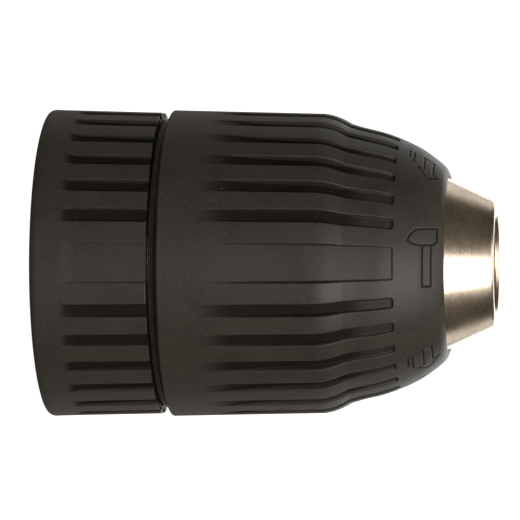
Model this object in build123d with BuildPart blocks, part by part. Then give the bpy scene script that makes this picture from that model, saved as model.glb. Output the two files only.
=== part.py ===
from build123d import *
import os
from math import cos, radians, sin, tan

# A keyless drill chuck with two grips. The rear collar is fixed on the body and the front sleeve turns the
# split nut inside, which drives three inclined jaws out of the steel nose.
# The chuck's axis is Z with the nose up, and its rear face stands on z = 0. Sizes are in millimetres.

# ---------------------------------------------------------------- clearances
turning_gap = 0.3      # round faces of pieces that turn on one another
seam_gap = 0.2         # flat faces of pieces that turn on one another
sliding_fit = 0.05     # jaws in their holes, balls in their races and cage
key_fit = 0.1          # keys in their slots
stop_gap = 0.4         # blind ends and loose ends
overcut = 1.0          # how far cuts run on past the faces they open

# ---------------------------------------------------------------- spindle end of the body
thread_radius = 6.35           # 1/2 inch, 20 threads to the inch, at the roots of the thread
thread_chamfer = 0.6
thread_depth = 16.0
screw_hole_radius = 3.2        # clearance for the spindle's left-hand screw
screw_seat = 6.0               # solid web that the screw's head pulls on
hub_radius = 13.0
hub_length = 8.0
shoulder_height = 25.5         # face that takes the jaws' thrust
shoulder_step = 0.5            # body outside the races
jaw_hole_wall = 0.3            # thinnest wall outside the jaws' holes
edge_chamfer = 0.5

# ---------------------------------------------------------------- jaws
jaw_count = 3
first_jaw_angle = -90.0
jaw_angle = 15.0               # each jaw's slope to the chuck's axis
jaw_radius = 3.7
jaw_length = 34.2
tip_protrusion = 4.9           # closed jaw tips past the nose
apex_protrusion = 5.0          # where the jaws' axes meet, past the nose
widest_bit_radius = 6.5
thinnest_bit_radius = 0.75
jaw_land = 1.0                 # width of the gripping edge
bit_bore_clearance = 0.25      # body's bore round the widest bit
screw_lead = 1.6               # jaw travel along Z for a turn of the nut
tooth_depth = 0.9
tooth_root = 0.3
tooth_slope = 0.4              # how far each flank leans
toothed_length = 24.0

# ---------------------------------------------------------------- thrust bearing
race_width = 2.6
race_thickness = 1.4
raceway_inset = 1.2            # from the races' bore to the middle of the raceway
raceway_depth = 0.35
ball_radius = 1.0
ball_count = 28
cage_thickness = 0.7
cage_rim = 0.8                 # cage inside the balls' circle
ratchet_thickness = 1.3
ratchet_inset = 0.3            # ratchet tips inside the races' rim
ratchet_tooth_depth = 0.6
ratchet_tooth_count = 60
ratchet_face = 0.15            # share of a tooth's pitch that its steep face takes

# ---------------------------------------------------------------- nut unit
nut_length = 10.1
nut_boss = 1.0                 # length of the boss that carries the front race
nut_boss_wall = 1.33           # boss outside the nut's thread
nut_step = 0.9                 # nut outside the boss
nut_split = 0.1
nut_thread_depth = 0.8
band_wall = 1.3
band_flange = 2.1              # length of the rim that carries the spring
spring_thickness = 0.4
spring_relief = 0.1            # pawl's arm outside the spring's bore
spring_inset = 0.1             # spring in front of the rim's rear face
spring_arc = 250.0
spring_width = 1.8
pawl_arc = 12.0
pawl_length = 0.8
pawl_lift = 0.35               # tip held clear of the ratchet while unlocked
pawl_tip_share = 0.25          # how much of the pawl's arc its tip takes

# ---------------------------------------------------------------- front sleeve
sleeve_wall = 2.5              # outside the bore over the body
grip_taper = 0.45              # how much slimmer the front end of each grip's ribs is
lock_angle = 12.0              # free turn between sleeve and nut
dog_arc = 10.0
dog_length = 4.5
dog_setback = 1.5              # dogs behind the nut's front face
dog_side_play = 0.5            # degrees at each end of a dog's slot
dog_count = 3
liner_thickness = 1.0
notch_depth = 1.4
notch_lip = 0.7                # how much slimmer the sleeve's rear lip is than the ribs
notch_length = 0.9
lip_thickness = 1.4
lip_rounding = 0.55
web_thickness = 2.2
web_undercut = 0.2             # cavity's end behind the web
cavity_shoulder = 1.0          # cavity's front end outside the lip's bore
dome_length = 13.1
dome_drop = 2.1                # step from the ribs down to the dome's rear end
dome_crown = 0.7               # how far the dome bulges
shoulder_length = 5.0          # rounded front shoulder of the ribs
shoulder_drop = 0.75           # how far its round part falls
shoulder_flank = 2.0           # length of its steep part
lip_rise = 2.3                 # lip past the nose ring's rear face

# ---------------------------------------------------------------- rear collar
collar_height = 16.1
collar_proud = 0.1             # collar outside the sleeve
collar_web = 2.6
collar_key_depth = 3.0
collar_key_reach = 3.8         # from the body's side in to the keys' inner ends
collar_key_width = 5.0
collar_fillet = 0.6

# ---------------------------------------------------------------- grooves of both grips
groove_sectors = 3
narrow_grooves = 8             # in each sector
narrow_pitch = 12.0
first_narrow_angle = 18.0
narrow_width = 4.6             # degrees
wide_width = 14.5
groove_depth = 0.85
groove_entry = 0.1             # depth where a front groove fades out
narrow_fade = 7.0              # from the sleeve's rear face to where its grooves fade out
wide_fade = 5.3
deepest_setback = 2.9          # grooves are deepest this far behind the shoulder
dome_groove_depth = 0.45
groove_end_depth = 0.35
groove_end_margin = 6.8        # from the lip's edge back to the grooves' front ends
collar_groove_start = 3.7
collar_groove_depth = 0.6
collar_groove_step = 0.2

# ---------------------------------------------------------------- nose
neck_play = 0.4                # nut to the body's front ring
front_ring_wall = 1.32         # body's front ring outside the jaws' backs
front_ring_length = 10.0
web_seat_step = 0.7
web_seat_length = 2.8
spigot_wall = 1.85             # spigot outside the jaws' backs
spigot_length = 5.3
nose_flange_step = 0.5
nose_flange_length = 2.0
nose_length = 8.9
nose_tip_wall = 1.75
nose_bevel = 0.3
nose_bore_clearance = 0.7      # nose's bore round the widest bit
nose_bore_chamfer = 0.5

# ---------------------------------------------------------------- dust seal
seal_section_radius = 0.75
seal_groove_depth = 1.4
seal_wall = 0.29               # body between the seal's groove and the jaws' holes

# ---------------------------------------------------------------- heights that follow
bit_bore_floor = thread_depth + screw_seat
ratchet_front = shoulder_height + ratchet_thickness
rear_race_front = ratchet_front + race_thickness
ball_height = rear_race_front + ball_radius - raceway_depth
front_race_rear = ball_height + ball_radius - raceway_depth
nut_rear = front_race_rear + race_thickness
nut_front = nut_rear + nut_length
nut_boss_rear = nut_rear - nut_boss
front_ring_rear = nut_front + neck_play
front_ring_front = front_ring_rear + front_ring_length
nose_rear = front_ring_front + web_seat_length
spigot_front = nose_rear + spigot_length
chuck_length = nose_rear + nose_length
lip_front = nose_rear + lip_rise
web_rear = nose_rear - turning_gap - web_thickness

# ---------------------------------------------------------------- jaw travel
jaw_travel = (widest_bit_radius - thinnest_bit_radius) / sin(radians(jaw_angle))
apex_height = chuck_length + apex_protrusion
tip_height = chuck_length + tip_protrusion - jaw_travel * cos(radians(jaw_angle))
jaw_rear_height = tip_height - jaw_length * cos(radians(jaw_angle))
jaw_angles = [first_jaw_angle + k * 360 / jaw_count for k in range(jaw_count)]
key_angles = [angle + 180 / jaw_count for angle in jaw_angles]
sector_angles = [first_jaw_angle + k * 360 / groove_sectors for k in range(groove_sectors)]
narrow_places = [first_narrow_angle + k * narrow_pitch for k in range(narrow_grooves)]
narrow_angles = [a + place for a in sector_angles for place in narrow_places]


def jaw_back_radius(height):
    """How far from the chuck's axis a jaw's back lies at a height."""
    return (apex_height - height) * tan(radians(jaw_angle)) + jaw_radius / cos(radians(jaw_angle))


def jaw_back_height(radius):
    """The height at which a jaw's back lies this far from the chuck's axis."""
    return apex_height - (radius - jaw_radius / cos(radians(jaw_angle))) / tan(radians(jaw_angle))


# ---------------------------------------------------------------- radii that follow
bearing_seat_radius = jaw_back_radius(nut_boss_rear) + turning_gap + nut_boss_wall
pitch_radius = bearing_seat_radius + raceway_inset
race_radius = bearing_seat_radius + race_width
ratchet_tip_radius = race_radius - ratchet_inset
body_radius = max(race_radius + shoulder_step, jaw_back_radius(jaw_rear_height) + sliding_fit + jaw_hole_wall)
nut_radius = bearing_seat_radius + nut_step
band_radius = nut_radius + band_wall
pawl_bore_radius = race_radius + turning_gap
band_flange_radius = pawl_bore_radius - spring_relief
spring_outer_radius = band_flange_radius + spring_thickness
liner_bore_radius = band_radius + turning_gap
sleeve_bore_radius = body_radius + turning_gap
spring_pocket_radius = spring_outer_radius + turning_gap
pocket_radius = max(liner_bore_radius + liner_thickness, spring_pocket_radius, sleeve_bore_radius)
grip_radius = sleeve_bore_radius + sleeve_wall
collar_radius = grip_radius + collar_proud
collar_key_radius = body_radius - collar_key_reach
sleeve_front_radius = grip_radius - grip_taper
dome_radius = sleeve_front_radius - dome_drop
front_ring_radius = jaw_back_radius(front_ring_rear) + front_ring_wall
web_seat_radius = front_ring_radius - web_seat_step
web_bore_radius = web_seat_radius + turning_gap
spigot_radius = jaw_back_radius(nose_rear) + spigot_wall
bit_bore_radius = widest_bit_radius + bit_bore_clearance
nose_flange_radius = web_seat_radius + nose_flange_step
lip_bore_radius = nose_flange_radius + turning_gap
lip_radius = lip_bore_radius + lip_thickness
nose_bore_radius = widest_bit_radius + nose_bore_clearance
nose_tip_radius = nose_bore_radius + nose_tip_wall
seal_floor_radius = body_radius - seal_groove_depth
seal_half_width = seal_section_radius + sliding_fit
seal_height = jaw_back_height(seal_floor_radius - sliding_fit - seal_wall) + seal_half_width


def radial_plane(angle):
    """A plane through the chuck's axis: its x runs outward at the angle, and its y runs up the axis."""
    a = radians(angle)
    return Plane(origin=(0, 0, 0), x_dir=(cos(a), sin(a), 0), z_dir=(sin(a), -cos(a), 0))


def jaw_plane(angle, height):
    """A plane across one jaw's axis where that axis has the given height, facing the nose."""
    a = radians(angle)
    slope = radians(jaw_angle)
    reach = (apex_height - height) * tan(slope)
    toward_nose = (-sin(slope) * cos(a), -sin(slope) * sin(a), cos(slope))
    inward = (-cos(slope) * cos(a), -cos(slope) * sin(a), -sin(slope))
    return Plane(origin=(reach * cos(a), reach * sin(a), height), x_dir=inward, z_dir=toward_nose)


def polar(radius, angle):
    return (radius * cos(radians(angle)), radius * sin(radians(angle)))


def ring(inner_radius, outer_radius, rear, front):
    """Sketches one rectangular ring section on the current radial sketch."""
    with Locations(((inner_radius + outer_radius) / 2, (rear + front) / 2)):
        Rectangle(outer_radius - inner_radius, front - rear)


# ================================================================ chuck body
body_outline = [
    (0, 0),
    (hub_radius, 0),
    (hub_radius, hub_length),
    (body_radius, hub_length),
    (body_radius, shoulder_height),
    (bearing_seat_radius, shoulder_height),
    (bearing_seat_radius, rear_race_front),
    (jaw_back_radius(nut_front) - stop_gap, rear_race_front),
    (jaw_back_radius(nut_front) - stop_gap, front_ring_rear),
    (front_ring_radius, front_ring_rear),
    (front_ring_radius, front_ring_front),
    (web_seat_radius, front_ring_front),
    (web_seat_radius, nose_rear),
    (spigot_radius, nose_rear),
    (spigot_radius, spigot_front),
    (0, spigot_front),
]

with BuildPart() as chuck_body:
    with BuildSketch(Plane.XZ):
        with BuildLine():
            Polyline(*body_outline, close=True)
        make_face()
    revolve(axis=Axis.Z)
    chamfer(chuck_body.edges().filter_by(GeomType.CIRCLE).group_by(Axis.Z)[0], edge_chamfer)
    with BuildSketch(Plane.XZ):
        ring(0, thread_radius, 0, thread_depth)
        ring(0, screw_hole_radius, 0, spigot_front)
        ring(0, bit_bore_radius, bit_bore_floor, spigot_front)
        with BuildLine():
            mouth_radius = thread_radius + thread_chamfer
            Polyline((0, 0), (mouth_radius, 0), (0, mouth_radius), close=True)
        make_face()
    revolve(axis=Axis.Z, mode=Mode.SUBTRACT)
    with BuildSketch(*[jaw_plane(a, jaw_rear_height - stop_gap) for a in jaw_angles]):
        Circle(jaw_radius + sliding_fit)
    hole_length = (spigot_front - jaw_rear_height) / cos(radians(jaw_angle)) + jaw_radius
    extrude(amount=hole_length, mode=Mode.SUBTRACT)
    with BuildSketch(Plane.XZ):
        with Locations((seal_floor_radius, seal_height)):
            Rectangle(seal_groove_depth + overcut, 2 * seal_half_width, align=(Align.MIN, Align.CENTER))
    revolve(axis=Axis.Z, mode=Mode.SUBTRACT)
    with BuildSketch(Plane.XY.offset(hub_length)):
        for angle in key_angles:
            with Locations(Location((*polar(collar_key_radius, angle), 0), angle)):
                Rectangle(2 * collar_key_reach, collar_key_width, align=(Align.MIN, Align.CENTER))
    extrude(amount=collar_key_depth, mode=Mode.SUBTRACT)


# ================================================================ jaws
def make_jaw(angle, place):
    """One jaw. Its back carries part of the nut's thread, so its teeth start by its own share of the lead."""
    land = jaw_land / 2
    reach = 2 * body_radius
    outline = [
        (widest_bit_radius, land),
        (widest_bit_radius + reach * cos(radians(60)), land + reach * sin(radians(60))),
        (-reach, reach),
        (-reach, -reach),
        (widest_bit_radius + reach * cos(radians(60)), -land - reach * sin(radians(60))),
        (widest_bit_radius, -land),
    ]
    first_tooth = jaw_rear_height + screw_lead * (1 - place / jaw_count)
    tooth_heights = [first_tooth + k * screw_lead for k in range(int(toothed_length / screw_lead))]
    with BuildPart() as jaw:
        with BuildSketch(jaw_plane(angle, jaw_rear_height)):
            Circle(jaw_radius)
        extrude(amount=jaw_length + jaw_radius)
        with BuildSketch(Plane.XY.offset(tip_height)):
            Circle(2 * body_radius)
        extrude(amount=2 * jaw_radius + jaw_length, mode=Mode.SUBTRACT)
        with BuildSketch(Plane(origin=(0, 0, jaw_rear_height - jaw_radius), x_dir=(*polar(1, angle), 0))):
            with BuildLine():
                Polyline(*outline, close=True)
            make_face()
        extrude(amount=jaw_length + 2 * jaw_radius, mode=Mode.SUBTRACT)
        with BuildSketch(radial_plane(angle)):
            for height in tooth_heights:
                root = jaw_back_radius(height) - tooth_depth
                spread = tooth_root / 2 + 2 * tooth_slope
                with BuildLine():
                    Polyline(
                        (root, height - tooth_root / 2),
                        (root + 2 * tooth_depth, height - spread),
                        (root + 2 * tooth_depth, height + spread),
                        (root, height + tooth_root / 2),
                        close=True,
                    )
                make_face()
        extrude(amount=2 * jaw_radius, both=True, mode=Mode.SUBTRACT)
    return jaw


jaws = {f"jaw_{k + 1}": make_jaw(angle, k) for k, angle in enumerate(jaw_angles)}


# ================================================================ thrust bearing
def make_race(rear, front, raceway_height):
    with BuildPart() as race:
        with BuildSketch(Plane.XZ):
            ring(bearing_seat_radius, race_radius, rear, front)
            with Locations((pitch_radius, raceway_height)):
                Circle(ball_radius + sliding_fit, mode=Mode.SUBTRACT)
        revolve(axis=Axis.Z)
    return race


rear_race = make_race(ratchet_front, rear_race_front, ball_height)
front_race = make_race(front_race_rear, nut_rear, ball_height)

with BuildPart() as ball_cage:
    with BuildSketch(Plane.XZ):
        ring(pitch_radius - ball_radius - cage_rim, race_radius, ball_height - cage_thickness / 2,
             ball_height + cage_thickness / 2)
    revolve(axis=Axis.Z)
    with BuildSketch(Plane.XY.offset(ball_height - cage_thickness)):
        with PolarLocations(pitch_radius, ball_count):
            Circle(ball_radius + sliding_fit)
    extrude(amount=2 * cage_thickness, mode=Mode.SUBTRACT)

with BuildPart() as bearing_balls:
    with Locations((0, 0, ball_height)):
        with PolarLocations(pitch_radius, ball_count):
            Sphere(ball_radius)

# The ratchet ring is pressed on behind the rear race. Its teeth stop the locked sleeve from backing off.
tooth_step = 360 / ratchet_tooth_count
ratchet_outline = []
ratchet_root_radius = ratchet_tip_radius - ratchet_tooth_depth
for tooth in range(ratchet_tooth_count):
    ratchet_outline.append(polar(ratchet_tip_radius, tooth * tooth_step))
    ratchet_outline.append(polar(ratchet_root_radius, (tooth + ratchet_face) * tooth_step))

with BuildPart() as ratchet_ring:
    with BuildSketch(Plane.XY.offset(shoulder_height)):
        with BuildLine():
            Polyline(*ratchet_outline, close=True)
        make_face()
        Circle(bearing_seat_radius, mode=Mode.SUBTRACT)
    extrude(amount=ratchet_thickness)


# ================================================================ nut unit
def nut_bore_radius(height):
    """The nut's thread crests, clear of the jaws' teeth."""
    return jaw_back_radius(height) + turning_gap


nut_outline = [
    (nut_bore_radius(nut_boss_rear), nut_boss_rear),
    (bearing_seat_radius, nut_boss_rear),
    (bearing_seat_radius, nut_rear),
    (nut_radius, nut_rear),
    (nut_radius, nut_front),
    (nut_bore_radius(nut_front), nut_front),
]
nut_thread_heights = [nut_rear + (k + 0.5) * screw_lead for k in range(int(nut_length / screw_lead))]


def make_nut_half(side):
    with BuildPart() as half:
        with BuildSketch(Plane.XZ):
            with BuildLine():
                Polyline(*nut_outline, close=True)
            make_face()
        revolve(axis=Axis.Z)
        with BuildSketch(Plane.XZ):
            for height in nut_thread_heights:
                crest = nut_bore_radius(height)
                with BuildLine():
                    Polyline(
                        (crest - tooth_depth, height + screw_lead),
                        (crest + nut_thread_depth, height + tooth_root / 2),
                        (crest + nut_thread_depth, height - tooth_root / 2),
                        (crest - tooth_depth, height - screw_lead),
                        close=True,
                    )
                make_face()
        revolve(axis=Axis.Z, mode=Mode.SUBTRACT)
        split(bisect_by=Plane.XZ.offset(-side * nut_split / 2), keep=Keep.BOTTOM if side > 0 else Keep.TOP)
    return half


nut_half_a = make_nut_half(1)
nut_half_b = make_nut_half(-1)

# The band is pressed round the two nut halves. Its slots give the sleeve's dogs their free turn.
slot_arc = dog_arc + lock_angle + 2 * dog_side_play
dog_angles = [first_jaw_angle + k * 360 / dog_count for k in range(dog_count)]
dog_front = nut_front - dog_setback
dog_rear = dog_front - dog_length

with BuildPart() as nut_band:
    with BuildSketch(Plane.XZ):
        ring(nut_radius, band_radius, nut_rear, nut_front)
        ring(nut_radius, band_flange_radius, nut_rear, nut_rear + band_flange)
    revolve(axis=Axis.Z)
    with BuildSketch(*[radial_plane(a - dog_arc / 2 - lock_angle - dog_side_play) for a in dog_angles]):
        ring(nut_radius - overcut, band_radius + overcut, dog_rear - stop_gap, nut_front + overcut)
    revolve(axis=Axis.Z, revolution_arc=slot_arc, mode=Mode.SUBTRACT)

# The spring clips round the band's rim, and its pawl reaches back over the ratchet ring.
pawl_angle = key_angles[0]
pawl_rear = shoulder_height + seam_gap
spring_rear = nut_rear + spring_inset

with BuildPart() as pawl_spring:
    with BuildSketch(radial_plane(pawl_angle - pawl_arc / 2)):
        ring(band_flange_radius, spring_outer_radius, spring_rear, spring_rear + spring_width)
    revolve(axis=Axis.Z, revolution_arc=spring_arc)
    with BuildSketch(radial_plane(pawl_angle - pawl_arc / 2)):
        ring(pawl_bore_radius, spring_outer_radius, pawl_rear, spring_rear + spring_width)
    revolve(axis=Axis.Z, revolution_arc=pawl_arc)
    with BuildSketch(radial_plane(pawl_angle - pawl_arc / 2)):
        ring(ratchet_tip_radius + pawl_lift, spring_outer_radius, pawl_rear, pawl_rear + pawl_length)
    revolve(axis=Axis.Z, revolution_arc=pawl_arc * pawl_tip_share)


# ================================================================ front sleeve
sleeve_rear = collar_height + seam_gap
notch_bottom = sleeve_rear + notch_length / 2
ribs_rear = sleeve_rear + notch_length * 1.5
dome_rear = lip_front - dome_length
shoulder_rear = dome_rear - shoulder_length
shoulder_front = (sleeve_front_radius - shoulder_drop, dome_rear - shoulder_flank)
dome_middle = (dome_rear + lip_front) / 2
dome_middle_radius = (dome_radius + lip_radius) / 2 + dome_crown
groove_front = lip_front - groove_end_margin
cavity_front = web_rear - web_undercut


def front_groove(angles, width, fade):
    """Sections of the front sleeve's grooves, which fade out at the rear and end bluntly on the dome."""
    with BuildSketch(*[radial_plane(a - width / 2) for a in angles]) as sections:
        with BuildLine():
            floor = Spline(
                (grip_radius - groove_entry, sleeve_rear + fade),
                (sleeve_front_radius - groove_depth, shoulder_rear - deepest_setback),
                (dome_radius - dome_groove_depth, dome_rear),
                (dome_middle_radius - groove_end_depth, groove_front),
            )
            outside = grip_radius + overcut
            Polyline(floor @ 1, (outside, groove_front), (outside, sleeve_rear + fade), floor @ 0)
        make_face()
    return sections.sketch


with BuildPart() as front_sleeve:
    with BuildSketch(Plane.XZ):
        with BuildLine():
            Line((dome_radius, dome_rear), shoulder_front)
            Spline(shoulder_front, (sleeve_front_radius, shoulder_rear), tangents=[(-0.45, -1), (0, -1)])
            Polyline(
                (sleeve_front_radius, shoulder_rear),
                (grip_radius, ribs_rear),
                (grip_radius - notch_depth, notch_bottom),
                (grip_radius - notch_lip, sleeve_rear),
                (sleeve_bore_radius, sleeve_rear),
                (sleeve_bore_radius, pawl_rear - stop_gap),
                (pocket_radius, pawl_rear - stop_gap),
                (pocket_radius, dog_front),
                (liner_bore_radius, dog_front),
                (liner_bore_radius, nut_front + stop_gap),
                (lip_bore_radius + cavity_shoulder, cavity_front),
                (web_bore_radius, cavity_front),
                (web_bore_radius, web_rear + web_thickness),
                (lip_bore_radius, web_rear + web_thickness),
                (lip_bore_radius, lip_front),
                (lip_radius, lip_front),
            )
            dome_crest = (dome_middle_radius, dome_middle)
            ThreePointArc((lip_radius, lip_front), dome_crest, (dome_radius, dome_rear))
        make_face()
    revolve(axis=Axis.Z)
    lip_edges = front_sleeve.edges().filter_by(GeomType.CIRCLE).group_by(Axis.Z)[-1]
    fillet(lip_edges, min(lip_rounding, lip_thickness * 0.45))
    narrow = front_groove(narrow_angles, narrow_width, narrow_fade)
    revolve(narrow, axis=Axis.Z, revolution_arc=narrow_width, mode=Mode.SUBTRACT)
    wide = front_groove(sector_angles, wide_width, wide_fade)
    revolve(wide, axis=Axis.Z, revolution_arc=wide_width, mode=Mode.SUBTRACT)

# The steel liner is pressed into the sleeve, and its dogs drive the band.
with BuildPart() as sleeve_liner:
    with BuildSketch(Plane.XZ):
        ring(liner_bore_radius, pocket_radius, nut_rear + band_flange + stop_gap, dog_front)
    revolve(axis=Axis.Z)
    with BuildSketch(*[radial_plane(a - dog_arc / 2) for a in dog_angles]):
        ring(nut_radius + turning_gap, pocket_radius, dog_rear, dog_front)
    revolve(axis=Axis.Z, revolution_arc=dog_arc)


# ================================================================ rear collar
def collar_groove(angles, width):
    """Sections of the rear collar's grooves, which deepen toward its front edge and run out there."""
    with BuildSketch(*[radial_plane(a - width / 2) for a in angles]) as sections:
        with BuildLine():
            Polyline(
                (collar_radius - collar_groove_step, collar_groove_start),
                (collar_radius + overcut, collar_groove_start),
                (collar_radius + overcut, collar_height + overcut),
                (collar_radius - grip_taper - collar_groove_depth, collar_height + overcut),
                close=True,
            )
        make_face()
    return sections.sketch


with BuildPart() as rear_collar:
    with BuildSketch(Plane.XZ):
        with BuildLine():
            Polyline(
                (hub_radius, 0),
                (collar_radius, 0),
                (collar_radius - grip_taper, collar_height),
                (body_radius, collar_height),
                (body_radius, collar_web),
                (hub_radius, collar_web),
                close=True,
            )
        make_face()
    revolve(axis=Axis.Z)
    outer_edges = rear_collar.edges().filter_by(GeomType.CIRCLE).sort_by(SortBy.RADIUS)[-2:]
    fillet(outer_edges, collar_fillet)
    narrow = collar_groove(narrow_angles, narrow_width)
    revolve(narrow, axis=Axis.Z, revolution_arc=narrow_width, mode=Mode.SUBTRACT)
    wide = collar_groove(sector_angles, wide_width)
    revolve(wide, axis=Axis.Z, revolution_arc=wide_width, mode=Mode.SUBTRACT)
    with BuildSketch(Plane.XY.offset(collar_web)):
        for angle in key_angles:
            with Locations(Location((*polar(collar_key_radius + key_fit, angle), 0), angle)):
                Rectangle(collar_key_reach, collar_key_width - 2 * key_fit, align=(Align.MIN, Align.CENTER))
    extrude(amount=hub_length + collar_key_depth - key_fit - collar_web)


# ================================================================ nose ring
with BuildPart() as nose_ring:
    with BuildSketch(Plane.XZ):
        with BuildLine():
            Polyline(
                (spigot_radius, nose_rear),
                (nose_flange_radius, nose_rear),
                (nose_flange_radius, nose_rear + nose_flange_length),
                (nose_tip_radius, chuck_length - nose_bevel),
                (nose_tip_radius - nose_bevel, chuck_length),
                (nose_bore_radius + nose_bore_chamfer, chuck_length),
                (nose_bore_radius, chuck_length - nose_bore_chamfer),
                (nose_bore_radius, spigot_front),
                (spigot_radius, spigot_front),
                close=True,
            )
        make_face()
    revolve(axis=Axis.Z)


# ================================================================ dust seal
with BuildPart() as dust_seal:
    with BuildSketch(Plane.XZ):
        with Locations((seal_floor_radius + seal_section_radius, seal_height)):
            Circle(seal_section_radius)
    revolve(axis=Axis.Z)


# ================================================================ files
pieces = {
    "chuck_body": chuck_body,
    **jaws,
    "ratchet_ring": ratchet_ring,
    "rear_race": rear_race,
    "bearing_balls": bearing_balls,
    "ball_cage": ball_cage,
    "front_race": front_race,
    "nut_half_a": nut_half_a,
    "nut_half_b": nut_half_b,
    "nut_band": nut_band,
    "pawl_spring": pawl_spring,
    "front_sleeve": front_sleeve,
    "sleeve_liner": sleeve_liner,
    "rear_collar": rear_collar,
    "nose_ring": nose_ring,
    "dust_seal": dust_seal,
}
os.makedirs("parts", exist_ok=True)
for name, piece in pieces.items():
    piece.part.label = name
    export_step(piece.part, f"parts/{name}.step")
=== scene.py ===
import math

import bpy
import numpy as np
from mathutils import Matrix, Vector


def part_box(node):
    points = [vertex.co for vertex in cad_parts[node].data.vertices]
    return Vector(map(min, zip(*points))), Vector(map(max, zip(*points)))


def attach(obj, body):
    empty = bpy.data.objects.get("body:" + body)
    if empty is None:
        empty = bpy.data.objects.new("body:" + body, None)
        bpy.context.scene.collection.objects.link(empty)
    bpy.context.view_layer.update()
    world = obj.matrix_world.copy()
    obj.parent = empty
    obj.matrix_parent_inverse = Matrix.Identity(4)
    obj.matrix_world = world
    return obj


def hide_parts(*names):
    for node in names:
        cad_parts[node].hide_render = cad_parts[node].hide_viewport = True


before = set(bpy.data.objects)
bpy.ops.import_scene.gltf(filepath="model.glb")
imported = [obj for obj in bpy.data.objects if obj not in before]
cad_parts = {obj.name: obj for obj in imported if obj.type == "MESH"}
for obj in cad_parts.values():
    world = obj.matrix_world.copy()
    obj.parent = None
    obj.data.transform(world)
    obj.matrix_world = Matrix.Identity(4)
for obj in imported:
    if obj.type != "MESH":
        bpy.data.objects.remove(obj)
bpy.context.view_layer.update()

# A keyless drill chuck: a fixed rear collar and a turning front sleeve of grained black plastic, and a turned
# steel nose ring. The chuck's axis is Z with the nose up. Lengths are in metres, angles in degrees.

MM = 0.001

sleeve_low, sleeve_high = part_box("front_sleeve")
_, collar_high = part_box("rear_collar")
nose_low, nose_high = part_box("nose_ring")
_, body_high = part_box("chuck_body")

# ---------------------------------------------------------------- sizes of both grips
grip_radius = sleeve_high.x
grip_taper = 0.5 * MM          # how much slimmer the sleeve's ribs get from their rear end to the shoulder
collar_radius = collar_high.x
collar_taper = 0.42 * MM       # how much slimmer the collar's ribs get over its whole length
body_radius = body_high.x
running_gap = 0.3 * MM         # between round faces of pieces that turn on one another

sector_angles = [-90.0, 30.0, 150.0]          # the middles of the wide grooves
narrow_angles = [a + 18 + 12 * k for a in sector_angles for k in range(8)]
narrow_half_angle = 2.3
wide_half_angle = 7.25
groove_shade_share = 0.12             # painted shade in the sleeve's wide grooves, as a share of that in the narrow ones'
collar_groove_shade_share = 0.05      # the same share of painted shade, on the collar
collar_wide_share = 0.4        # depth of the collar's wide grooves, as a share of the narrow ones'


# ================================================================ curves and meshes
def smooth(t):
    """Eases from 0 to 1."""
    t = np.clip(t, 0, 1)
    return t * t * (3 - 2 * t)


def curve_through(points, at):
    """The height at a place of a smooth curve through a few (place, height) points."""
    places = np.array([p[0] for p in points])
    heights = np.array([p[1] for p in points])
    slopes = np.gradient(heights, places)
    at = min(max(at, places[0]), places[-1])
    i = min(max(int(np.searchsorted(places, at)) - 1, 0), len(places) - 2)
    span = places[i + 1] - places[i]
    t = (at - places[i]) / span
    return (
        (2 * t**3 - 3 * t**2 + 1) * heights[i]
        + (t**3 - 2 * t**2 + t) * span * slopes[i]
        + (3 * t**2 - 2 * t**3) * heights[i + 1]
        + (t**3 - t**2) * span * slopes[i + 1]
    )


def rounded(outline, steps=4):
    """(radius, height) rows of an outline whose (radius, height, rounding) corners are eased."""
    rows = []
    for i, (r, z, rounding) in enumerate(outline):
        here = Vector((r, z))
        before = Vector(outline[i - 1][:2]) - here
        after = Vector(outline[(i + 1) % len(outline)][:2]) - here
        reach = min(rounding, before.length * 0.49, after.length * 0.49)
        if reach <= 0:
            rows.append((r, z))
            continue
        start = here + before.normalized() * reach
        end = here + after.normalized() * reach
        for k in range(steps + 1):
            t = k / steps
            place = start * (1 - t) ** 2 + here * (2 * t * (1 - t)) + end * t**2
            rows.append((place.x, place.y))
    return rows


def ring(angles, radii, height):
    """One ring of a lathe shape: its angles, and its points at those angles."""
    a = np.radians(angles)
    radii = radii * np.ones_like(a)
    return angles, np.column_stack([radii * np.cos(a), radii * np.sin(a), height * np.ones_like(a)])


def even_angles(count):
    return np.arange(count) * 360 / count


def faces_between(lower, upper, first_lower, first_upper):
    """Faces between two rings. Rings with different angles are joined by triangles, in order of angle."""
    n, m = len(lower), len(upper)
    if n == m:
        return [
            (first_lower + i, first_lower + (i + 1) % n, first_upper + (i + 1) % n, first_upper + i)
            for i in range(n)
        ]
    faces = []
    i = j = 0
    while i < n or j < m:
        next_lower = lower[i + 1] if i + 1 < n else lower[0] + 360
        next_upper = upper[j + 1] if j + 1 < m else upper[0] + 360
        here = (first_lower + i % n, first_upper + j % m)
        if j >= m or (i < n and next_lower <= next_upper):
            i += 1
            faces.append((here[0], first_lower + i % n, here[1]))
        else:
            j += 1
            faces.append((here[0], first_upper + j % m, here[1]))
    return faces


def lathe(name, rings, masks=None):
    """A smooth closed mesh from its rings, in order round the section, with named values on the points."""
    starts = np.cumsum([0] + [len(angles) for angles, _ in rings])
    faces = []
    for k, (angles, _) in enumerate(rings):
        after = (k + 1) % len(rings)
        faces += faces_between(angles, rings[after][0], int(starts[k]), int(starts[after]))
    mesh = bpy.data.meshes.new(name)
    mesh.from_pydata(np.vstack([points for _, points in rings]).tolist(), [], faces)
    mesh.polygons.foreach_set("use_smooth", [True] * len(mesh.polygons))
    for mask, values in (masks or {}).items():
        layer = mesh.attributes.new(mask, "FLOAT", "POINT")
        layer.data.foreach_set("value", np.concatenate(values).astype(np.float32))
    mesh.update()
    piece = bpy.data.objects.new(name, mesh)
    bpy.context.scene.collection.objects.link(piece)
    return piece


# ================================================================ grooves of the grips
wall_run = 0.26 * MM           # how far a groove's leaning wall runs sideways
groove_corner = 0.32 * MM      # rounding of the corners at a groove's blunt end


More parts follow.
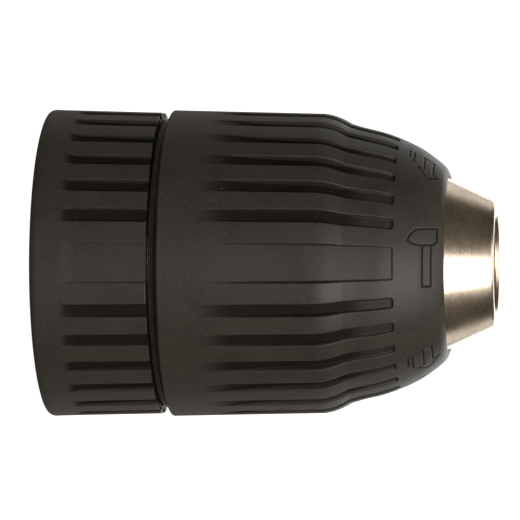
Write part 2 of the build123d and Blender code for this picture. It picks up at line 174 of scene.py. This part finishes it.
def groove_columns():
    """Angles of the mesh's columns, close together on the grooves' walls and wider apart between them."""
    wall = [-1.1, -0.72, -0.5, -0.3, -0.1, 0.1, 0.3, 0.5, 0.72, 1.1]
    angles = set()
    for centres, half, floors in (
        (narrow_angles, narrow_half_angle, [0.0]),
        (sector_angles, wide_half_angle, [0.0, 1.5, 3.0, 4.5, 5.5]),
    ):
        for centre in centres:
            for side in (-1, 1):
                angles |= {round((centre + side * (half + w)) % 360, 4) for w in wall}
                angles |= {round((centre + side * f) % 360, 4) for f in floors}
    for k in range(30):
        angles.add(round((sector_angles[0] + 12 * k) % 360, 4))
    return np.array(sorted(angles))


def groove_mask(angles, radius, height, end, shares):
    """How deep each point lies, from 0 on the ribs to the narrow and wide grooves' shares of the full depth.

    The grooves stop squarely at end.
    """
    mask = np.zeros_like(angles)
    for centres, half, share in (
        (narrow_angles, narrow_half_angle, shares[0]),
        (sector_angles, wide_half_angle, shares[1]),
    ):
        along = height - end + groove_corner
        for centre in centres:
            off = np.abs((angles - centre + 180) % 360 - 180)
            across = np.radians(off - half) * radius + groove_corner
            beyond = np.where(
                (across > 0) & (along > 0), np.hypot(across, along), np.maximum(across, along)
            ) - groove_corner
            mask = np.maximum(mask, share * smooth(0.5 - beyond / wall_run))
    return mask


# ================================================================ engraved marks on the sleeve's dome
line_half_width = 0.10 * MM
line_depth = 0.17 * MM


def engraved(angles, radius, height, symbols):
    """How far the engraved lines reach in at each point: 1 along a line, 0 away from it."""
    depth = np.zeros_like(angles)
    for centre, lines in symbols:
        off = (angles - centre + 180) % 360 - 180
        across = np.radians(off) * radius
        near = np.abs(off) < 26
        if not near.any():
            continue
        gap = np.full(near.sum(), 1.0)
        for line in lines:
            for (z0, s0), (z1, s1) in zip(line[:-1], line[1:]):
                dz, ds = z1 - z0, s1 - s0
                t = ((height - z0) * dz + (across[near] - s0) * ds) / (dz * dz + ds * ds)
                t = np.clip(t, 0, 1)
                gap = np.minimum(gap, np.hypot(height - z0 - t * dz, across[near] - s0 - t * ds))
        depth[near] = np.maximum(depth[near], smooth(1.5 - gap / line_half_width))
    return depth


def placed(lines, front):
    """Lines given in millimetres behind the lip and sideways, as (height, sideways) in metres."""
    return [[(front - back * MM, side * MM) for back, side in line] for line in lines]


hammer_mark = [
    [
        (2.85, -2.55), (3.5, -2.6), (4.2, -2.85), (4.85, -3.3), (4.7, -3.75), (4.3, -4.3),
        (3.8, -4.75), (3.2, -4.9), (0.95, -4.95), (0.95, -3.0), (1.5, -2.6), (2.85, -2.55),
    ],
    [(2.85, -2.55), (2.85, 3.2), (1.7, 3.2), (1.7, -2.6)],
]
turn_mark = [
    [(1.9, -2.6), (3.1, -2.6), (3.1, 0.9), (3.9, 0.9), (2.5, 2.7), (1.1, 0.9), (1.9, 0.9), (1.9, -2.6)],
    [(4.5, -2.6), (4.5, 0.3)],
    [(5.1, -2.6), (5.1, -0.6)],
]

# ================================================================ front sleeve
sleeve_rear = sleeve_low.z
lip_front = sleeve_high.z
dome_rear = lip_front - 13.1 * MM
shoulder_rear = dome_rear - 5.0 * MM
ribs_rear = sleeve_rear + 1.35 * MM
lip_bore = nose_high.x + running_gap
groove_fade = sleeve_rear + 5.0 * MM
sleeve_groove_end = lip_front - 6.8 * MM
band_rear = lip_front - 5.75 * MM
band_step = 0.085 * MM         # between the rings that carry the engraved marks
cavity_bore = 19.2 * MM        # round the liner

dome_shape = [
    (dome_rear, 19.47 * MM), (44.5 * MM, 19.16 * MM), (46.0 * MM, 18.8 * MM), (47.4 * MM, 18.45 * MM),
    (48.8 * MM, 17.98 * MM), (50.2 * MM, 17.4 * MM), (51.6 * MM, 16.75 * MM), (53.0 * MM, 15.98 * MM),
    (54.2 * MM, 15.12 * MM), (55.0 * MM, 14.50 * MM), (55.5 * MM, 14.08 * MM), (55.9 * MM, 13.70 * MM),
    (56.2 * MM, 13.30 * MM), (56.4 * MM, 12.90 * MM), (lip_front, 12.65 * MM),
]
floor_shape = [
    (groove_fade, 21.45 * MM), (29.5 * MM, 20.9 * MM), (35.5 * MM, 20.38 * MM), (38.5 * MM, 20.2 * MM),
    (40.5 * MM, 19.85 * MM), (42.0 * MM, 19.42 * MM), (43.6 * MM, 18.98 * MM), (46.0 * MM, 18.36 * MM),
    (48.0 * MM, 17.82 * MM), (51.0 * MM, 16.7 * MM),
]


def rib_radius(z):
    """The sleeve's outer radius on its ribs and dome."""
    if z < shoulder_rear:
        return grip_radius - grip_taper * (z - ribs_rear) / (shoulder_rear - ribs_rear)
    shoulder = grip_radius - grip_taper - (z - shoulder_rear) ** 2 / (13.2 * MM)
    dome = curve_through(dome_shape, max(z, dome_rear - 1.0 * MM))
    dome += max(dome_rear - z, 0) * 0.22
    return soft_max(shoulder, dome, 0.12 * MM)


def soft_max(a, b, ease):
    """The larger of two lengths, eased where they cross."""
    return (a + b + math.sqrt((a - b) ** 2 + ease**2)) / 2


def outer_rows():
    """Heights of the sleeve's rings from behind the ribs to the dome band."""
    spans = [
        (ribs_rear + 0.2 * MM, groove_fade, 6),
        (groove_fade, shoulder_rear - 1.0 * MM, 34),
        (shoulder_rear - 1.0 * MM, dome_rear - 1.0 * MM, 22),
        (dome_rear - 1.0 * MM, dome_rear + 0.8 * MM, 14),
        (dome_rear + 0.8 * MM, sleeve_groove_end - 0.7 * MM, 14),
        (sleeve_groove_end - 0.7 * MM, sleeve_groove_end + 0.45 * MM, 14),
        (sleeve_groove_end + 0.45 * MM, band_rear, 2),
    ]
    return [z for low, high, count in spans for z in np.linspace(low, high, count, endpoint=False)]


def make_front_sleeve():
    """The turning sleeve. Its rings are pushed in to make the grooves and the marks on its dome."""
    columns = groove_columns()
    band_columns = even_angles(1260)
    rings, groove, lines = [], [], []

    def add(angles, radii, z, in_groove=0.0, in_line=0.0):
        rings.append(ring(angles, radii, z))
        groove.append(in_groove * np.ones(len(angles)))
        lines.append(in_line * np.ones(len(angles)))

    notch = rounded([
        (body_radius + running_gap, sleeve_rear, 0),
        (grip_radius - 1.5 * MM, sleeve_rear, 0.05 * MM),
        (grip_radius - 1.4 * MM, sleeve_rear + 0.75 * MM, 0.1 * MM),
        (grip_radius - 0.3 * MM, sleeve_rear + 1.2 * MM, 0.12 * MM),
        (grip_radius, ribs_rear, 0.2 * MM),
        (grip_radius, ribs_rear + 1.0 * MM, 0),
    ])
    for r, z in notch[:-1]:
        add(columns, r, z)
    for z in outer_rows():
        rib = rib_radius(z)
        floor = min(curve_through(floor_shape, z), rib - 0.03 * MM)
        # a wide groove loses half its depth over its last 4.5 mm
        wide_share = 1 - 0.5 * smooth((z - sleeve_groove_end + 4.5 * MM) / (4 * MM))
        mask = groove_mask(columns, rib, z, sleeve_groove_end, (1.0, wide_share))
        sunk = smooth((z - groove_fade) / (10 * MM))
        # painted shade in the grooves: a value on the points that darkens their colour, fading in from the
        # rear and weaker on the dome
        painted_shade = groove_mask(columns, rib, z, sleeve_groove_end, (1.0, groove_shade_share))
        painted_shade *= smooth((z - groove_fade - 0.6 * MM) / (6 * MM))
        painted_shade *= 1 - 0.55 * smooth((z - dome_rear) / (3 * MM))
        add(columns, rib - mask * (rib - floor) * sunk, z, painted_shade)
    symbols = [(a, placed(hammer_mark, lip_front)) for a in sector_angles]
    symbols += [(a + 60, placed(turn_mark, lip_front)) for a in sector_angles]
    for z in np.arange(band_rear, lip_front - 0.05 * MM, band_step):
        rib = rib_radius(z)
        line = engraved(band_columns, rib, z, symbols)
        add(band_columns, rib - line_depth * line, z, 0.0, line)
    lip = rounded([
        (lip_bore + 0.2 * MM, lip_front, 0),
        (lip_bore, lip_front - 0.1 * MM, 0),
        (lip_bore, nose_low.z - 0.3 * MM, 0),
        (11.9 * MM, nose_low.z - 0.3 * MM, 0),
        (11.9 * MM, nose_low.z - 2.5 * MM, 0),
        (13.0 * MM, nose_low.z - 2.7 * MM, 0),
        (18.2 * MM, 41.1 * MM, 0),
        (cavity_bore, 39.2 * MM, 0),
        (cavity_bore, sleeve_rear + 9.0 * MM, 0),
    ], 6)
    for r, z in lip:
        add(columns, r, z)
    return lathe("grip_sleeve", rings, {"groove": groove, "line": lines})


# ================================================================ rear collar
def make_rear_collar():
    """The fixed collar. Its grooves deepen toward the front edge and run out through it."""
    columns = groove_columns()
    height = collar_high.z
    bore = body_radius * 0.69
    floor_height = 2.6 * MM       # inner face of the floor behind the body
    fade = 3.9 * MM               # where the grooves begin
    full_depth = 0.66 * MM
    edge_rear = 15.5 * MM
    rings, groove = [], []

    def add(radii, z, in_groove=0.0):
        rings.append(ring(columns, radii, z))
        groove.append(in_groove * np.ones(len(columns)))

    rear = rounded([
        (bore, 0.0, 0),
        (collar_radius, 0.0, 0.9 * MM),
        (collar_radius, 2.5 * MM, 0),
    ], 6)
    for r, z in rear[:-1]:
        add(r, z)
    heights = np.concatenate([
        np.linspace(1.6, 3.8, 3, endpoint=False),
        np.linspace(3.8, 6.4, 14),
        np.linspace(6.8, 15.5, 16),
    ])
    for z in heights * MM:
        rib = collar_radius - collar_taper * z / height
        mask = groove_mask(columns, rib, z, height + MM, (1.0, collar_wide_share))
        begun = smooth((z - fade) / (2.4 * MM))
        sunk = begun * (0.45 + 0.55 * (z - fade) / (height - fade))
        # painted shade in the collar's grooves: a value on the points that darkens their colour
        painted_shade = groove_mask(columns, rib, z, height + MM, (1.0, collar_groove_shade_share))
        painted_shade *= smooth((z - fade + 0.1 * MM) / (1.3 * MM))
        add(rib - mask * full_depth * sunk, z, painted_shade)
    edge = rounded([
        (collar_radius - collar_taper * edge_rear / height, edge_rear, 0),
        (collar_radius - collar_taper, height, 0.2 * MM),
        (body_radius, height, 0),
    ], 6)
    for r, z in edge[1:]:
        mask = groove_mask(columns, collar_radius, z, height + MM, (1.0, collar_wide_share))
        # the grooves' painted shade runs on through the front edge
        painted_shade = groove_mask(columns, collar_radius, z, height + MM, (1.0, collar_groove_shade_share))
        add(np.minimum(r, collar_radius - collar_taper - mask * full_depth), z, painted_shade)
    for r in (body_radius, bore):
        add(r, floor_height)
    return lathe("grip_collar", rings, {"groove": groove})


# ================================================================ nose ring
def make_nose_ring():
    """The turned steel nose: a cone with a bright bevel, bored through."""
    bore = 7.2 * MM
    spigot_bore = 9.4 * MM        # inside, where the nose sits on the body
    bore_length = 3.6 * MM
    section = rounded([
        (nose_high.x, nose_low.z, 0.1 * MM),
        (nose_high.x, nose_low.z + 2.0 * MM, 0.15 * MM),
        (8.95 * MM, nose_high.z - 0.3 * MM, 0.1 * MM),
        (8.65 * MM, nose_high.z, 0.1 * MM),
        (bore + 0.5 * MM, nose_high.z, 0.1 * MM),
        (bore, nose_high.z - 0.5 * MM, 0.1 * MM),
        (bore, nose_high.z - bore_length, 0),
        (spigot_bore, nose_high.z - bore_length, 0),
        (spigot_bore, nose_low.z, 0),
    ], 5)
    columns = even_angles(256)
    return lathe("steel_nose", [ring(columns, r, z) for r, z in section])


# ================================================================ spindle thread
def make_spindle_thread():
    """The ridge of the half-inch thread, which winds up the spindle hole and fades out at both ends."""
    root, crest = 6.37 * MM, 5.75 * MM
    pitch = 25.4 / 20 * MM
    low, high = 0.75 * MM, 15.2 * MM
    per_turn = 72
    steps = int((high - low) / pitch * per_turn)
    points, faces = [], []
    for k in range(steps + 1):
        a = 2 * math.pi * k / per_turn
        z = low + pitch * k / per_turn
        fade = float(smooth(k / per_turn * 1.5) * smooth((steps - k) / per_turn * 1.5))
        inner = root - (root - crest) * max(fade, 0.02)
        for r, dz in ((root, -0.46), (inner, -0.08), (inner, 0.08), (root, 0.46)):
            points.append((r * math.cos(a), r * math.sin(a), z + dz * pitch))
    for k in range(steps):
        a, b = 4 * k, 4 * k + 4
        faces += [(a + i, a + (i + 1) % 4, b + (i + 1) % 4, b + i) for i in range(4)]
    faces += [(0, 3, 2, 1), tuple(4 * steps + i for i in range(4))]
    mesh = bpy.data.meshes.new("spindle_thread")
    mesh.from_pydata(points, [], faces)
    mesh.update()
    piece = bpy.data.objects.new("spindle_thread", mesh)
    bpy.context.scene.collection.objects.link(piece)
    return piece


# ================================================================ shader building blocks
def new_group(name, inputs, outputs):
    """A shader node group with named sockets, and its input and output nodes."""
    group = bpy.data.node_groups.new(name, "ShaderNodeTree")
    for label, default in inputs.items():
        kind = "NodeSocketFloat" if isinstance(default, (int, float)) else "NodeSocketColor"
        socket = group.interface.new_socket(name=label, in_out="INPUT", socket_type=kind)
        socket.default_value = default
    for label, kind in outputs.items():
        group.interface.new_socket(name=label, in_out="OUTPUT", socket_type=kind)
    return group, group.nodes.new("NodeGroupInput"), group.nodes.new("NodeGroupOutput")


def node(tree, kind, **settings):
    """A node with its properties, and its inputs by name where a key starts with in_."""
    made = tree.nodes.new(kind)
    for key, value in settings.items():
        if not key.startswith("in_"):
            setattr(made, key, value)
    for key, value in settings.items():
        if key.startswith("in_"):
            slot = key[3:]
            made.inputs[int(slot) if slot.isdigit() else slot.replace("_", " ")].default_value = value
    return made


def math_node(tree, operation, a, b=None, c=None):
    made = tree.nodes.new("ShaderNodeMath")
    made.operation = operation
    for socket, value in zip(made.inputs, (a, b, c)):
        if value is None:
            continue
        if isinstance(value, (int, float)):
            socket.default_value = value
        else:
            tree.links.new(value, socket)
    return made.outputs[0]


def noise(tree, place, scale, detail=2.0, rough=0.5):
    made = node(tree, "ShaderNodeTexNoise", in_Scale=scale, in_Detail=detail, in_Roughness=rough)
    tree.links.new(place, made.inputs["Vector"])
    return made.outputs["Fac"]


def remap(tree, value, low, high, to_low, to_high):
    made = node(tree, "ShaderNodeMapRange", clamp=True)
    for slot, setting in zip(("From Min", "From Max", "To Min", "To Max"), (low, high, to_low, to_high)):
        if isinstance(setting, (int, float)):
            made.inputs[slot].default_value = setting
        else:
            tree.links.new(setting, made.inputs[slot])
    tree.links.new(value, made.inputs["Value"])
    return made.outputs["Result"]


def mixed(tree, amount, a, b):
    made = tree.nodes.new("ShaderNodeMix")
    made.data_type = "RGBA"
    tree.links.new(amount, made.inputs["Factor"])
    for slot, colour in ((6, a), (7, b)):
        if isinstance(colour, tuple):
            made.inputs[slot].default_value = (*colour, 1)
        else:
            tree.links.new(colour, made.inputs[slot])
    return made.outputs[2]


def make_moulded_grain():
    """Fine pebbled grain of moulded plastic, with slow patches where it is more or less polished."""
    group, start, end = new_group(
        "moulded_grain",
        {"Grain Size": 1.0},
        {"Height": "NodeSocketFloat", "Patches": "NodeSocketFloat", "Specks": "NodeSocketFloat"},
    )
    place = group.nodes.new("ShaderNodeTexCoord").outputs["Object"]
    sized = node(group, "ShaderNodeVectorMath", operation="SCALE")
    group.links.new(place, sized.inputs[0])
    group.links.new(start.outputs["Grain Size"], sized.inputs["Scale"])
    place = sized.outputs[0]
    pebbles = node(group, "ShaderNodeTexVoronoi", feature="SMOOTH_F1", in_Scale=5200, in_Smoothness=0.6)
    group.links.new(place, pebbles.inputs["Vector"])
    fine = noise(group, place, 9000, 1.0)
    fine = math_node(group, "MULTIPLY", fine, 0.45)
    height = math_node(group, "MULTIPLY_ADD", pebbles.outputs["Distance"], 0.7, fine)
    group.links.new(height, end.inputs["Height"])
    group.links.new(noise(group, place, 260, 3.0, 0.6), end.inputs["Patches"])
    specks = remap(group, noise(group, place, 2400, 1.0), 0.74, 0.80, 0.0, 1.0)
    group.links.new(specks, end.inputs["Specks"])
    return group


def make_turned_rings():
    """Fine rings that a lathe tool leaves, seen along the chuck's axis: streaks that run round it."""
    group, start, end = new_group(
        "turned_rings",
        {"Ring Scale": 1.0},
        {"Height": "NodeSocketFloat", "Streaks": "NodeSocketFloat", "Patches": "NodeSocketFloat"},
    )
    place = node(group, "ShaderNodeSeparateXYZ")
    group.links.new(group.nodes.new("ShaderNodeTexCoord").outputs["Object"], place.inputs[0])
    x, y, z = place.outputs
    x_squared = math_node(group, "MULTIPLY", x, x)
    y_squared = math_node(group, "MULTIPLY", y, y)
    reach = math_node(group, "SQRT", math_node(group, "ADD", x_squared, y_squared))
    angle = math_node(group, "ARCTAN2", y, x)
    along = math_node(group, "SUBTRACT", z, reach)
    round_place = node(group, "ShaderNodeCombineXYZ")
    around = 3.5 * MM             # a small circle, so that the streaks are long round the piece
    for slot, operation in ((0, "COSINE"), (1, "SINE")):
        turned = math_node(group, "MULTIPLY", math_node(group, operation, angle), around)
        group.links.new(turned, round_place.inputs[slot])
    group.links.new(math_node(group, "MULTIPLY", along, start.outputs["Ring Scale"]), round_place.inputs[2])
    rings = noise(group, round_place.outputs[0], 5200, 2.5, 0.65)
    broad = noise(group, round_place.outputs[0], 1300, 2.0, 0.5)
    group.links.new(rings, end.inputs["Height"])
    broad = math_node(group, "MULTIPLY", broad, 0.4)
    group.links.new(math_node(group, "MULTIPLY_ADD", rings, 0.6, broad), end.inputs["Streaks"])
    patches = noise(group, group.nodes["Texture Coordinate"].outputs["Object"], 160, 3.0, 0.55)
    group.links.new(patches, end.inputs["Patches"])
    return group


moulded_grain = make_moulded_grain()
turned_rings = make_turned_rings()


def new_material(name):
    material = bpy.data.materials.new(name)
    material.use_nodes = True
    tree = material.node_tree
    tree.nodes.clear()
    out = tree.nodes.new("ShaderNodeOutputMaterial")
    shader = tree.nodes.new("ShaderNodeBsdfPrincipled")
    tree.links.new(shader.outputs[0], out.inputs[0])
    return material, tree, shader


def placed_group(tree, group, **values):
    made = tree.nodes.new("ShaderNodeGroup")
    made.node_tree = group
    for label, value in values.items():
        made.inputs[label.replace("_", " ")].default_value = value
    return made


def bump(tree, shader, height, strength, distance):
    made = node(tree, "ShaderNodeBump", in_Strength=strength, in_Distance=distance)
    tree.links.new(height, made.inputs["Height"])
    tree.links.new(made.outputs[0], shader.inputs["Normal"])


def make_grip_plastic():
    """Black moulded plastic with a warm cast and a fine mottle, with painted shade in its grooves; darker and
    duller in grooves and marks.
    """
    material, tree, shader = new_material("grip_plastic")
    grain = placed_group(tree, moulded_grain)
    groove = node(tree, "ShaderNodeAttribute", attribute_name="groove").outputs["Fac"]
    patches = math_node(tree, "MULTIPLY", grain.outputs["Patches"], 0.4)
    mottle = math_node(tree, "MULTIPLY_ADD", grain.outputs["Height"], 0.6, patches)
    mottle = remap(tree, mottle, 0.3, 0.6, 0.0, 1.0)
    tone = mixed(tree, mottle, (0.0135, 0.0119, 0.0093), (0.027, 0.0238, 0.0186))
    # painted shade: the groove value darkens the plastic's colour in the grooves
    tone = mixed(tree, math_node(tree, "MULTIPLY", groove, 0.93), tone, (0.0065, 0.0053, 0.0047))
    tone = mixed(tree, math_node(tree, "MULTIPLY", grain.outputs["Specks"], 0.25), tone, (0.16, 0.145, 0.12))
    line = node(tree, "ShaderNodeAttribute", attribute_name="line").outputs["Fac"]
    tone = mixed(tree, math_node(tree, "MULTIPLY", line, 0.7), tone, (0.004, 0.0034, 0.003))
    tree.links.new(tone, shader.inputs["Base Color"])
    recess = math_node(tree, "MAXIMUM", groove, line)
    tree.links.new(remap(tree, recess, 0.0, 1.0, 0.30, 0.08), shader.inputs["Specular IOR Level"])
    rough = remap(tree, grain.outputs["Patches"], 0.3, 0.7, 0.46, 0.54)
    rough = math_node(tree, "MULTIPLY_ADD", groove, 0.08, rough)
    tree.links.new(rough, shader.inputs["Roughness"])
    shader.inputs["IOR"].default_value = 1.48
    bump(tree, shader, grain.outputs["Height"], 0.35, 0.00006)
    return material


def make_turned_steel(name, dark, light, rough_low, rough_high, ring_scale=1.0, depth=0.3):
    """Turned steel with fine rings, a little uneven in tone."""
    material, tree, shader = new_material(name)
    rings = placed_group(tree, turned_rings, Ring_Scale=ring_scale)
    tone = mixed(tree, remap(tree, rings.outputs["Streaks"], 0.3, 0.7, 0.0, 1.0), dark, light)
    tree.links.new(tone, shader.inputs["Base Color"])
    rough = remap(tree, rings.outputs["Patches"], 0.3, 0.7, rough_low, rough_high)
    tree.links.new(rough, shader.inputs["Roughness"])
    shader.inputs["Metallic"].default_value = 1.0
    bump(tree, shader, rings.outputs["Height"], depth, 0.00002)
    return material


grip_plastic = make_grip_plastic()
nose_steel = make_turned_steel("nose_steel", (0.44, 0.355, 0.265), (0.66, 0.57, 0.455), 0.24, 0.32)
body_steel = make_turned_steel("body_steel", (0.26, 0.25, 0.24), (0.40, 0.385, 0.37), 0.30, 0.42)
jaw_steel = make_turned_steel("jaw_steel", (0.24, 0.24, 0.245), (0.38, 0.38, 0.39), 0.28, 0.40, 0.6)
bearing_steel = make_turned_steel(
    "bearing_steel", (0.50, 0.50, 0.51), (0.66, 0.66, 0.67), 0.14, 0.22, 1.0, 0.1
)
nut_steel = make_turned_steel("nut_steel", (0.16, 0.155, 0.15), (0.26, 0.25, 0.245), 0.38, 0.5)
spring_steel = make_turned_steel("spring_steel", (0.13, 0.16, 0.24), (0.20, 0.24, 0.33), 0.25, 0.35, 0.8, 0.1)
cage_brass = make_turned_steel("cage_brass", (0.52, 0.36, 0.13), (0.66, 0.48, 0.20), 0.3, 0.4, 0.8, 0.15)


def make_seal_rubber():
    """Matt black rubber with a fine moulded grain."""
    material, tree, shader = new_material("seal_rubber")
    grain = placed_group(tree, moulded_grain, Grain_Size=0.7)
    tone = mixed(tree, grain.outputs["Patches"], (0.014, 0.014, 0.014), (0.026, 0.026, 0.025))
    tree.links.new(tone, shader.inputs["Base Color"])
    shader.inputs["Roughness"].default_value = 0.8
    bump(tree, shader, grain.outputs["Height"], 0.2, 0.00005)
    return material


seal_rubber = make_seal_rubber()

# ================================================================ pieces and their bodies
node_materials = {
    "chuck_body": body_steel,
    "jaw_1": jaw_steel,
    "jaw_2": jaw_steel,
    "jaw_3": jaw_steel,
    "ratchet_ring": nut_steel,
    "rear_race": bearing_steel,
    "front_race": bearing_steel,
    "bearing_balls": bearing_steel,
    "ball_cage": cage_brass,
    "nut_half_a": nut_steel,
    "nut_half_b": nut_steel,
    "nut_band": body_steel,
    "pawl_spring": spring_steel,
    "sleeve_liner": body_steel,
    "dust_seal": seal_rubber,
}
for name, material in node_materials.items():
    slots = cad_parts[name].data.materials
    slots.clear()
    slots.append(material)

made_pieces = [
    (make_front_sleeve(), "front_sleeve", "sleeve_unit", grip_plastic, "grip_black"),
    (make_rear_collar(), "rear_collar", "body", grip_plastic, "grip_black"),
    (make_nose_ring(), "nose_ring", "body", nose_steel, "nose_steel"),
    (make_spindle_thread(), None, "body", body_steel, "body_steel"),
]
for piece, replaced, body, material, slot in made_pieces:
    piece.data.materials.append(material)
    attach(piece, body)
    if replaced:
        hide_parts(replaced)


# ================================================================ floor, lights and camera
def make_floor():
    mesh = bpy.data.meshes.new("studio_floor")
    half = 6.0
    low = -0.1 * MM               # just under the rear face, so that the two don't flicker together
    corners = [(-half, -half, low), (half, -half, low), (half, half, low), (-half, half, low)]
    mesh.from_pydata(corners, [], [(0, 1, 2, 3)])
    floor = bpy.data.objects.new("studio_floor", mesh)
    bpy.context.scene.collection.objects.link(floor)
    material, tree, shader = new_material("studio_white")
    shader.inputs["Base Color"].default_value = (0.30, 0.27, 0.235, 1)
    shader.inputs["Roughness"].default_value = 1.0
    shader.inputs["Specular IOR Level"].default_value = 0.0
    shader.inputs["Emission Color"].default_value = (1, 1, 1, 1)
    shown = tree.nodes.new("ShaderNodeLightPath").outputs["Is Camera Ray"]
    # painted shadow: the floor's glow fades out within about 20 mm of the middle, under the chuck, where it
    # shows through the spindle hole
    reach = node(tree, "ShaderNodeVectorMath", operation="LENGTH")
    tree.links.new(tree.nodes.new("ShaderNodeTexCoord").outputs["Object"], reach.inputs[0])
    outside_painted_shadow = remap(tree, reach.outputs["Value"], 0.019, 0.0205, 0.0, 1.0)
    bright = remap(tree, shown, 0.0, 1.0, 0.05, 1.0)
    tree.links.new(math_node(tree, "MULTIPLY", bright, outside_painted_shadow), shader.inputs["Emission Strength"])
    floor.data.materials.append(material)


def add_softbox(name, place, aim, width, height, watts, colour=(1, 1, 1)):
    light = bpy.data.lights.new(name, "AREA")
    light.shape = "RECTANGLE"
    light.size = width
    light.size_y = height
    light.energy = watts
    light.color = colour
    box = bpy.data.objects.new(name, light)
    box.location = place
    box.rotation_euler = (Vector(aim) - Vector(place)).to_track_quat("-Z", "Y").to_euler()
    bpy.context.scene.collection.objects.link(box)


def make_world():
    world = bpy.data.worlds.new("studio")
    world.use_nodes = True
    tree = world.node_tree
    back = tree.nodes["Background"]
    shown = tree.nodes.new("ShaderNodeLightPath").outputs["Is Camera Ray"]
    tree.links.new(mixed(tree, shown, (1.0, 0.83, 0.64), (1.0, 1.0, 1.0)), back.inputs["Color"])
    tree.links.new(remap(tree, shown, 0.0, 1.0, 0.065, 1.0), back.inputs["Strength"])
    bpy.context.scene.world = world


camera_place = (0, -0.6415, 0.097)
camera_aim = Vector((-0.00046, 0, 0.0297))
camera_roll = -0.13            # degrees, beyond the turn that lays the axis across the picture
camera_lens = 316.4            # millimetres, on a sensor 36 wide


def add_camera():
    """A long lens square to the chuck's side, a little past the nose, with the axis across the picture."""
    camera = bpy.data.objects.new("camera", bpy.data.cameras.new("camera"))
    bpy.context.scene.collection.objects.link(camera)
    camera.location = camera_place
    forward = (camera_aim - camera.location).normalized()
    right = Vector((0, 0, 1))
    right = (right - forward * right.dot(forward)).normalized()
    up = right.cross(forward)
    turn = Matrix((right, up, -forward)).transposed()
    turn = Matrix.Rotation(math.radians(camera_roll), 3, forward) @ turn
    camera.rotation_euler = turn.to_euler()
    camera.data.sensor_width = 36
    camera.data.lens = camera_lens
    camera.data.clip_start = 0.01
    camera.data.clip_end = 50
    bpy.context.scene.camera = camera


make_floor()
make_world()
middle = (0, 0, 0.032)
add_softbox("key_softbox", (0.15, -0.46, 0.50), middle, 0.38, 0.40, 5, (1, 0.98, 0.95))
add_softbox("front_softbox", (0.0, -0.95, 0.12), middle, 0.5, 0.5, 2.1)
add_softbox("top_softbox", (0.0, -0.05, 0.85), middle, 0.5, 0.5, 2)
add_softbox("back_softbox", (0.0, 0.75, 0.30), middle, 0.8, 0.5, 3.5)
add_softbox("right_softbox", (0.55, 0.45, 0.10), middle, 0.4, 0.5, 0.7)
add_softbox("left_softbox", (-0.55, 0.45, 0.10), middle, 0.4, 0.5, 0.7)
add_camera()

bpy.context.scene.view_settings.view_transform = "Standard"
